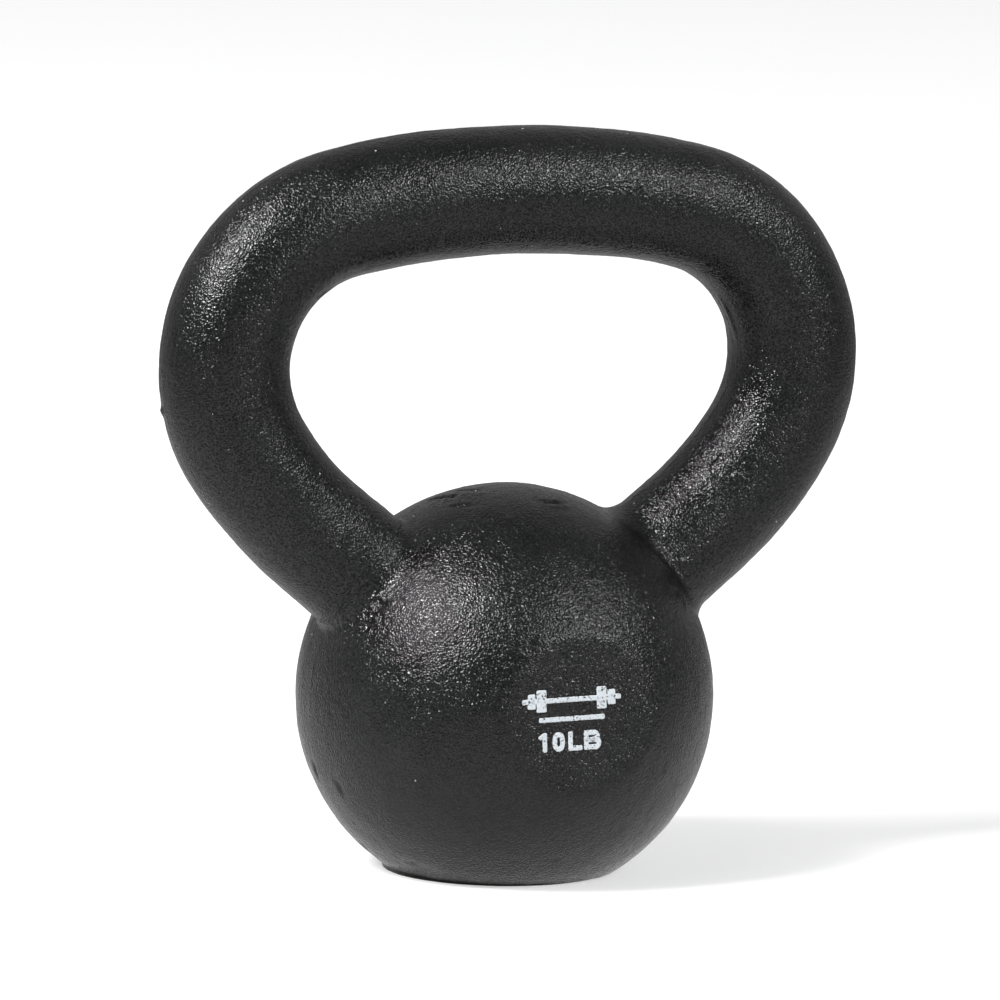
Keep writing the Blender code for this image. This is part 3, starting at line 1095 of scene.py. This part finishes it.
@dataclass(frozen=True)
class Foot:
    """The ground foot under the ball: a low disc, flat underneath, a little out of round."""

    coat: bpy.types.Material
    radius: float = 0.0262
    shift: tuple = (-0.00093, 0.00037)
    height: float = 2.4 * MM
    edge: float = 0.35 * MM
    first_radius: float = 1.0 * MM
    spare_share: float = 0.98
    uneven_height: float = 0.12 * MM
    uneven_from: float = 0.6
    uneven: Noise = Noise(5 * MM, 21, 2)
    flat_rows: int = 39
    edge_rows: int = 4
    wall_rows: int = 5
    columns: int = 360

    def profile(self) -> tuple[Array, Array]:
        """Profile of the foot: out along the ground, round a quarter circle and up the wall.

        Returns:
            The radius and the height of each ring, with a spare ring before and after.
        """
        inner = self.radius - self.edge
        flat = np.linspace(self.first_radius, inner, self.flat_rows + 1)[:-1]
        sideways, upwards = polar(self.edge, np.linspace(0, math.pi / 2, self.edge_rows))
        wall = np.linspace(self.edge, self.height, self.wall_rows + 1)[1:]
        upright = np.full(self.wall_rows, self.radius)
        spare = self.radius * self.spare_share
        radius = np.concatenate((flat[:1] / 2, flat, inner + sideways, upright, (spare,)))
        level = np.zeros(self.flat_rows + 1)
        return radius, np.concatenate((level, self.edge - upwards, wall, wall[-1:]))

    def build(self) -> None:
        """Turn the profile round, and push each ring out by a little noise towards the rim."""
        radius, height = self.profile()
        angle = ring_angles(self.columns)
        spoke = np.stack((np.sin(angle), -np.cos(angle), np.zeros_like(angle)), axis=-1)
        places = radius[:, None, None] * spoke + height[:, None, None] * UP
        places[..., :2] += self.shift
        share = smooth_step(self.uneven_from, 1.0, radius / self.radius)[:, None]
        places += spoke * (self.uneven_height * self.uneven.at(places) * share)[..., None]
        piece = Patch(places, np.broadcast_to(-UP, places.shape)).build("foot_skin")
        hand_over(piece, self.coat, Slot.COAT, "base_pad")


class Side(Enum):
    """Which side of the middle a piece is on, as the sign of x."""

    LEFT = -1
    RIGHT = 1


@dataclass(frozen=True)
class Fillet:
    """Radius of the fillet at a horn's root, in mm, and what three sides of the horn add to it."""

    plain: float
    window_side: float
    outer_side: float
    front: float

    def at(self, around: Array) -> Array:
        """Work out the radius at angles round the horn.

        The window side adds (1/2 - cos/2)^3, the outer side (1/2 + cos/2)^3, and the front
        sin^2 where the sine is above 0, each times its own share.

        Args:
            around: Angles from outward towards the front.

        Returns:
            The radii, in metres.
        """
        window_side = (0.5 - 0.5 * np.cos(around)) ** 3
        outer_side = (0.5 + 0.5 * np.cos(around)) ** 3
        front = np.maximum(np.sin(around), 0.0) ** 2
        radius = self.plain + self.window_side * window_side + self.outer_side * outer_side
        return MM * (radius + self.front * front)


ROOT_FILLETS = {Side.LEFT: Fillet(2.6, -0.2, -0.4, 2.6), Side.RIGHT: Fillet(2.6, 5.4, 3.7, -0.8)}


@dataclass(frozen=True)
class Handle:
    """The grip, its two corners and the two horns that run into the ball."""

    ball: Ball
    path: HandlePath
    relief: Relief
    coat: bpy.types.Material
    columns: int = 320
    row_step: float = 0.45 * MM
    fillet_rows: int = 14
    shoulder_rows: int = 12

    def tube(self, along: Array, around: Array) -> tuple[Array, Array]:
        """Smooth skin of the tube: the centreline plus the radius times the direction across.

        Args:
            along: Distances along the path, of any shape.
            around: Angles from outward towards the front, of the same shape.

        Returns:
            The places and their outward directions.
        """
        middle, outward = self.path.follow(along)
        across = turned(outward, FRONT, around)
        return middle + across * self.path.radius_at(along)[..., None], across

    def root(self, side: Side, around: Array) -> tuple[Array, Array]:
        """Smooth skin of a horn from its corner down to the ring on the ball.

        Each column has three stretches. The tube goes down to the fillet. The fillet's centre is
        one fillet radius outside both the tube and the ball, and its arc turns from facing the
        horn's axis to facing the ball's middle. Then the skin follows the ball out to the ring.

        Args:
            side: Which horn.
            around: Angle of each column.

        Returns:
            The places and outward directions, from the corner to the ring, with spare rows.
        """
        path, ball = self.path, self.ball
        fillet = ROOT_FILLETS[side].at(around)
        reach = path.horn_radius + fillet
        height = np.sqrt((ball.radius + fillet) ** 2 - reach**2)
        start = path.joints[1]
        end = path.length - height
        rows = round((end.mean() - start) / self.row_step)
        share = with_spares(0.0, 1.0, rows + 1)[:-2, None]
        along = side.value * (start + (end - start) * share)
        tube, across = self.tube(along, np.broadcast_to(around, along.shape))

        sideways, upwards = polar(1.0, path.horn_angle)
        axis = np.array((side.value * sideways, 0.0, upwards))
        _, outward = path.follow(np.array(side.value * path.length))
        spoke = turned(outward, FRONT, around)
        bend = np.linspace(0, 1, self.fillet_rows)[:, None] * np.arctan2(height, reach)
        bent = turned(spoke, axis, bend)
        arc = ball.centre + reach[:, None] * spoke + height[:, None] * axis - fillet[:, None] * bent

        low = np.arctan2(reach, height)
        out = np.linspace(0, 1, self.shoulder_rows)[1:, None]
        lean = low + (ball.ring_angle - low) * out
        last_step = (ball.ring_angle - low.mean()) / (self.shoulder_rows - 1)
        shoulder = turned(axis, spoke, np.concatenate((lean, lean[-1:] + last_step)))
        places = np.concatenate((tube, arc, ball.base(shoulder)))
        return places, np.concatenate((across, bent, shoulder))

    def wrap(self, node: str, base: Array, outward: Array) -> None:
        """Raise the relief on a base surface and hand the piece over."""
        patch = Patch(self.relief.raised(base, outward), outward)
        hand_over(patch.build(f"{node}_skin"), self.coat, Slot.COAT, node)

    def build_stretch(self, node: str, start: float, end: float) -> None:
        """Make the tube between two distances along the path.

        Args:
            node: The CAD node that it replaces.
            start: First distance.
            end: Last distance.
        """
        along = with_spares(start, end, round(abs(end - start) / self.row_step))
        grid = np.meshgrid(along, ring_angles(self.columns), indexing="ij")
        self.wrap(node, *self.tube(*grid))

    def build(self) -> None:
        """Make the five stretches of the handle."""
        crown_end, corner_end, _ = self.path.joints
        self.build_stretch("grip", -crown_end, crown_end)
        for side in Side:
            word = side.name.lower()
            self.build_stretch(f"{word}_corner", side.value * crown_end, side.value * corner_end)
            self.wrap(f"{word}_horn", *self.root(side, ring_angles(self.columns)))


@dataclass(frozen=True)
class Stroke:
    """One stroke of ink on the flat: the corners of its middle line (right, up), and its width.

    Everything is in mm from the middle of the flat. A loop's last point joins its first.
    """

    line: Array
    width: float
    loop: bool = False
    step: float = 0.11
    fewest_steps: int = 6

    def walk(self) -> Array:
        """Step evenly along the middle line.

        Returns:
            The places (right, up), without a loop's last, which is its first again.
        """
        line = np.concatenate((self.line, self.line[:1])) if self.loop else self.line
        ends = walked(line)
        count = max(round(ends[-1] / self.step), self.fewest_steps)
        stops = np.linspace(0, ends[-1], count + 1)
        if self.loop:
            stops = stops[:-1]
        return np.stack([np.interp(stops, ends, line[:, axis]) for axis in (0, 1)], axis=-1)


def walked(line: Array) -> Array:
    """Distance along a line from its start to each of its points."""
    return np.concatenate(((0.0,), np.cumsum(np.linalg.norm(np.diff(line, axis=0), axis=1))))


def bar(right: float, up: float, length: float, width: float, upright: bool = False) -> Stroke:
    """Straight stroke with square ends, from its start at the left or the bottom."""
    onward = (0.0, length) if upright else (length, 0.0)
    return Stroke(np.array(((right, up), (right + onward[0], up + onward[1]))), width)


def oval(right: float, up: float, half_wide: float, half_high: float, width: float) -> Stroke:
    """Closed stroke along a squared oval: cosine and sine, each to the power 0.75.

    Args:
        right: Its middle, to the right.
        up: Its middle, upwards.
        half_wide: Half its width, to the middle of the stroke.
        half_high: Half its height, to the middle of the stroke.
        width: Width of the stroke.

    Returns:
        The stroke.
    """
    power = 0.75
    angle = ring_angles(48)
    across = right + half_wide * signed_power(np.cos(angle), power)
    above = up + half_high * signed_power(np.sin(angle), power)
    return Stroke(np.stack((across, above), axis=-1), width, loop=True)


def bowl(right: float, low: float, high: float, reach: float, width: float) -> Stroke:
    """Stroke out from a stem, round a half circle and back: the bowl of a B.

    Args:
        right: Middle of the stem, to the right.
        low: Its lower line.
        high: Its upper line.
        reach: How far it reaches from the stem.
        width: Width of the stroke.

    Returns:
        The stroke.
    """
    radius = (high - low) / 2
    angle = np.linspace(math.pi / 2, -math.pi / 2, 13)
    bend = right + reach - radius
    arc = np.stack((bend + radius * np.cos(angle), low + radius + radius * np.sin(angle)), axis=-1)
    return Stroke(np.concatenate((((right, high),), arc, ((right, low),))), width)


@dataclass(frozen=True)
class FrontPrint:
    """Weight figures, a small barbell and a rule, printed on the front flat.

    Sizes are in mm, and places are counted from the middle of the flat.
    """

    bell: Bell
    ink: bpy.types.Material
    slope: float = math.radians(1.1)
    stroke: float = 1.12
    baseline: float = -7.85
    cap: float = 4.35
    one_at: float = -9.15
    flag: tuple = ((-1.45, -1.25), (-0.05, -0.4))
    flag_width: float = 0.95
    zero_at: float = -5.78
    zero_half_width: float = 1.48
    l_at: float = -3.45
    l_foot: float = 2.85
    b_at: float = 0.35
    b_waist: float = 2.2
    b_bowls: tuple = (2.75, 3.10)
    marks_at: float = -2.5
    bar_up: float = 3.7
    bar_size: tuple = (24.0, 1.15)
    discs: tuple = ((7.3, 2.4, 5.0), (9.7, 1.9, 3.4))
    rule_up: float = -0.6
    rule_size: tuple = (16.0, 1.1)
    thickness: float = 0.075
    sunk: float = 0.06
    corner: float = 0.30
    corner_share: float = 0.98
    section: int = 16
    section_power: float = 0.35
    width_waver: float = 0.07
    width_noise: Noise = Noise(0.9, 31, 2)
    edge_waver: float = 0.04
    edge_noise: Noise = Noise(0.7, 32, 2)
    seed_spacing: float = 9.0

    def on_coat(self, flat: Array, lift: Array) -> Array:
        """Carry places on the front flat onto the finished coat.

        Args:
            flat: Places (right, up) from the middle of the flat, in mm.
            lift: Height of each over the coat, in mm.

        Returns:
            Places in metres.
        """
        ball = self.bell.ball
        level, rise = level_and_rise(ball.flat_normal)
        right, up = turned(level, rise, self.slope), turned(rise, -level, self.slope)
        offset = ball.flat_normal * ball.flat_depth + (flat[..., :1] * right + flat[..., 1:] * up) * MM
        outward = unit(offset)
        return self.bell.skin(outward) + outward * lift[..., None] * MM

    def ribbon(self, stroke: Stroke, seed: int) -> Array:
        """Carry a rounded flat section along a stroke.

        The section is a squared oval: across = half width cos^0.35, and height = thickness
        sin^0.35 above the coat or a little below it. The half width falls by a quarter circle at
        the ends, and wavers by noise, as ink does.

        Args:
            stroke: The stroke.
            seed: Number of the stroke, which makes its waver its own.

        Returns:
            The places, as (steps along the stroke, steps round the section, 3).
        """
        line = stroke.walk()
        if stroke.loop:
            onward = np.roll(line, -1, axis=0) - np.roll(line, 1, axis=0)
        else:
            onward = np.gradient(line, axis=0)
        onward = unit(onward)
        beside = np.stack((-onward[:, 1], onward[:, 0]), axis=-1)[:, None]
        seat = np.concatenate((line, np.full((len(line), 1), self.seed_spacing * seed)), axis=-1)
        half = stroke.width / 2 + self.width_waver * self.width_noise.at(seat)
        if not stroke.loop:
            along = walked(line)
            short = 1 - np.clip(np.minimum(along, along[-1] - along) / self.corner, 0.0, 1.0)
            half -= self.corner * (1 - np.sqrt(1 - self.corner_share * short**2))
        angle = ring_angles(self.section)
        wide = signed_power(np.cos(angle), self.section_power)
        high = signed_power(np.sin(angle), self.section_power)
        high = high * np.where(high > 0, self.thickness, self.sunk)
        flat = line[:, None] + (half[:, None] * wide)[..., None] * beside
        level = np.concatenate((flat, np.zeros_like(flat[..., :1])), axis=-1)
        flat = flat + self.edge_waver * self.edge_noise.at(level)[..., None] * beside
        return self.on_coat(flat, np.broadcast_to(high, flat.shape[:-1]))

    def build_mark(self, name: str, node: str, strokes: list[Stroke]) -> None:
        """Make one mark from its strokes, each a closed shell.

        Args:
            name: Name of the new object.
            node: The CAD node that it replaces.
            strokes: Its strokes.
        """
        vertices, quads, fans, count = [], [], [], 0
        for number, stroke in enumerate(strokes):
            places = self.ribbon(stroke, number + len(name))
            rows, columns, _ = places.shape
            crossed = rows_by_columns(np.gradient(places, axis=0), places)
            turn = winding(crossed, places - places.mean(axis=1, keepdims=True))
            quads.append(grid_quads(rows, columns, stroke.loop)[:, ::turn] + count)
            vertices.append(places.reshape(-1, 3))
            if not stroke.loop:
                fans.append(end_fans(rows, columns)[:, ::turn] + count)
                vertices.append(np.stack((places[0].mean(axis=0), places[-1].mean(axis=0))))
                count += 2
            count += rows * columns
        groups = [np.concatenate(group) for group in (quads, fans) if group]
        mesh = mesh_of(name, np.concatenate(vertices), groups)
        mesh.shade_smooth()
        hand_over(placed(name, mesh), self.ink, Slot.INK, node)

    def stem(self, right: float) -> Stroke:
        """Upright of a figure or letter, as high as a capital."""
        return bar(right, self.baseline, self.cap, self.stroke, upright=True)

    def one(self) -> list[Stroke]:
        """The 1: a stem and a short flag to its left."""
        flag = np.add((self.one_at, self.baseline + self.cap), self.flag)
        return [self.stem(self.one_at), Stroke(flag, self.flag_width)]

    def zero(self) -> list[Stroke]:
        """Draw the 0: a squared oval.

        Returns:
            Its stroke.
        """
        half, middle = self.stroke / 2, self.cap / 2
        wide, high = self.zero_half_width - half, middle - half
        return [oval(self.zero_at, self.baseline + middle, wide, high, self.stroke)]

    def letter_l(self) -> list[Stroke]:
        """The L: a stem and a foot."""
        right, low = self.l_at + self.stroke / 2, self.baseline + self.stroke / 2
        return [self.stem(right), bar(right, low, self.l_foot, self.stroke)]

    def letter_b(self) -> list[Stroke]:
        """Draw the B: a stem, and an upper and a lower bowl that meet at its waist.

        Returns:
            Its strokes.
        """
        half = self.stroke / 2
        right, low, high = self.b_at + half, self.baseline + half, self.baseline + self.cap - half
        waist = self.baseline + self.b_waist
        upper, lower = self.b_bowls
        return [
            self.stem(right),
            bowl(right, waist, high, upper, self.stroke),
            bowl(right, low, waist, lower, self.stroke),
        ]

    def barbell(self) -> list[Stroke]:
        """Draw the barbell: a bar with a large and a small disc at each end.

        Returns:
            Its strokes.
        """
        length, width = self.bar_size
        strokes = [bar(self.marks_at - length / 2, self.bar_up, length, width)]
        for side in Side:
            for away, wide, high in self.discs:
                middle = self.marks_at + side.value * away
                strokes.append(bar(middle, self.bar_up - high / 2, high, wide, upright=True))
        return strokes

    def rule(self) -> list[Stroke]:
        """A plain rule."""
        length, width = self.rule_size
        return [bar(self.marks_at - length / 2, self.rule_up, length, width)]

    def build(self) -> None:
        """Make the six marks."""
        self.build_mark("ink_one", "print_digit_one", self.one())
        self.build_mark("ink_zero", "print_digit_zero", self.zero())
        self.build_mark("ink_l", "print_letter_l", self.letter_l())
        self.build_mark("ink_b", "print_letter_b", self.letter_b())
        self.build_mark("ink_barbell", "print_barbell", self.barbell())
        self.build_mark("ink_rule", "print_rule", self.rule())


# ---------------------------------------------------------------- studio

WHITE = (1.0, 1.0, 1.0, 1.0)


@dataclass(frozen=True)
class SoftBox:
    """A square area light that looks at the kettlebell, placed in degrees and metres."""

    name: str
    azimuth: float
    elevation: float
    distance: float
    size: float
    power: float
    aim_height: float = 0.08

    def build(self) -> None:
        """Hang the light."""
        light = bpy.data.lights.new(self.name, "AREA")
        light.shape = "SQUARE"
        light.size = self.size
        light.energy = self.power
        lamp = bpy.data.objects.new(self.name, light)
        place = Vector(direction(math.radians(self.azimuth), math.radians(self.elevation)))
        lamp.location = Vector((0.0, 0.0, self.aim_height)) + place * self.distance
        lamp.rotation_euler = place.to_track_quat("Z", "Y").to_euler()
        bpy.context.scene.collection.objects.link(lamp)


@dataclass(frozen=True)
class Floor:
    """A pale paper floor that glows a little.

    Rays other than the eye's see a glow in place of the paper, as if from a small lit table. This glow
    is
    painted light: a painted pool of light that falls with the distance from the kettlebell, a painted
    shadow of the kettlebell towards the right, and painted shade towards the back.
    """

    size: float = 12.0
    paper: tuple = (0.61, 0.605, 0.60, 1.0)
    roughness: float = 0.9
    glow_colour: tuple = (0.982, 0.988, 1.0, 1.0)
    glow: float = 0.50
    away_span: tuple = (0.30, 0.95)
    away_glow: tuple = (0.86, 0.36)
    # painted shadow of the kettlebell in the glow, towards its right
    shadow_span: tuple = (-0.1, 0.25)
    shadow_share: float = 0.66
    back_span: tuple = (-0.05, 0.4)
    back_share: float = 0.72

    def build(self) -> None:
        """Lay the floor."""
        half = self.size / 2
        corners = np.array(((-half, -half, 0), (half, -half, 0), (half, half, 0), (-half, half, 0)))
        floor = placed("floor", mesh_of("floor", corners, [np.array(((0, 1, 2, 3),))]))
        sheet = NodeSheet("floor_paper")
        sheet.set_shader(
            Base_Color=self.paper,
            Roughness=self.roughness,
            Emission_Color=self.glow_colour,
            Emission_Strength=self.glow,
        )
        # painted light for rays other than the eye's: a pool of light round the kettlebell
        away = sheet.add("ShaderNodeVectorMath", {"operation": "LENGTH"}, _0=sheet.place)
        strength = sheet.scale(away.outputs["Value"], *self.away_span, *self.away_glow)
        axes = sheet.axes()
        # painted shadow of the kettlebell to the right, and painted shade towards the back
        right = sheet.scale(axes["X"], *self.shadow_span, 1.0, self.shadow_share)
        back = sheet.scale(axes["Y"], *self.back_span, 1.0, self.back_share)
        strength = sheet.math("MULTIPLY", strength, sheet.math("MULTIPLY", right, back))
        glow = sheet.add("ShaderNodeEmission", Strength=strength)
        sheet.show(sheet.shader.outputs["BSDF"], glow.outputs["Emission"])
        floor.data.materials.append(sheet.material)


@dataclass(frozen=True)
class Room:
    """Light from all round: a white sweep behind, dim overhead and in front, white to the eye.

    The sweep's share of a direction rises with its y, and falls with its z.
    """

    dim: float = 0.13
    bright: float = 0.34
    back_span: tuple = (-0.15, 0.55)
    top_span: tuple = (0.55, 0.95)

    def build(self) -> None:
        """Make the world."""
        world = bpy.data.worlds.new("room")
        tree = NodeTree(world, "Background", "World Output", "Generated")
        axes = tree.axes()
        back = tree.scale(axes["Y"], *self.back_span, curve="SMOOTHSTEP")
        below_top = tree.scale(axes["Z"], *self.top_span, 1.0, 0.0, curve="SMOOTHSTEP")
        share = tree.math("MULTIPLY", back, below_top)
        tree.set_shader(Color=WHITE, Strength=tree.scale(share, 0.0, 1.0, self.dim, self.bright))
        seen = tree.add("ShaderNodeBackground", Color=WHITE)
        tree.show(seen.outputs["Background"], tree.shader.outputs["Background"])
        bpy.context.scene.world = world


@dataclass(frozen=True)
class Camera:
    """A long lens: where it stands, and the directions that it has to its right and upwards."""

    place: tuple = (-0.89742, -2.26157, 0.42954)
    right: tuple = (0.93059, -0.36558, 0.01881)
    above: tuple = (0.03406, 0.13763, 0.98990)
    focal_length: float = 390.5
    sensor_width: float = 36.0
    far: float = 30.0

    def build(self) -> None:
        """Set the camera up and look through it."""
        right, above = Vector(self.right), Vector(self.above)
        lens = bpy.data.cameras.new("camera")
        lens.lens = self.focal_length
        lens.sensor_width = self.sensor_width
        lens.clip_end = self.far
        camera = bpy.data.objects.new("camera", lens)
        turn = Matrix((right, above, right.cross(above))).transposed().to_4x4()
        camera.matrix_world = Matrix.Translation(self.place) @ turn
        bpy.context.scene.collection.objects.link(camera)
        bpy.context.scene.camera = camera


@dataclass(frozen=True)
class Studio:
    """The floor, the room, the camera and the soft boxes."""

    floor: Floor = Floor()
    room: Room = Room()
    camera: Camera = Camera()
    boxes: tuple = (
        SoftBox("key_light", -76, 45, 3.6, 0.98, 156.0),
        SoftBox("key_halo", -74, 47, 3.7, 3.00, 46.0),
        SoftBox("fill_light", 36, 34, 3.6, 0.84, 57.0),
        SoftBox("fill_halo", 50, 38, 3.7, 3.00, 18.0),
        SoftBox("front_card", 22, 6, 3.6, 1.60, 10.0),
    )

    def build(self) -> None:
        """Set up the whole studio."""
        for part in (self.camera, self.floor, self.room, *self.boxes):
            part.build()
        bpy.context.scene.view_settings.view_transform = "Standard"


def main() -> None:
    """Build the kettlebell's sub-assemblies in order."""
    logging.basicConfig(level=logging.INFO, format="%(name)s: %(message)s")
    ball = Ball.from_frame()
    path = HandlePath(ball)
    relief = Relief(ball, path)
    coat = TexturedCoat().make()
    ink = PrintedInk().make()
    bell = Bell(ball, path, relief, coat)
    bell.build()
    Foot(coat).build()
    Handle(ball, path, relief, coat).build()
    FrontPrint(bell, ink).build()
    Studio().build()


if __name__ == "__main__":
    main()
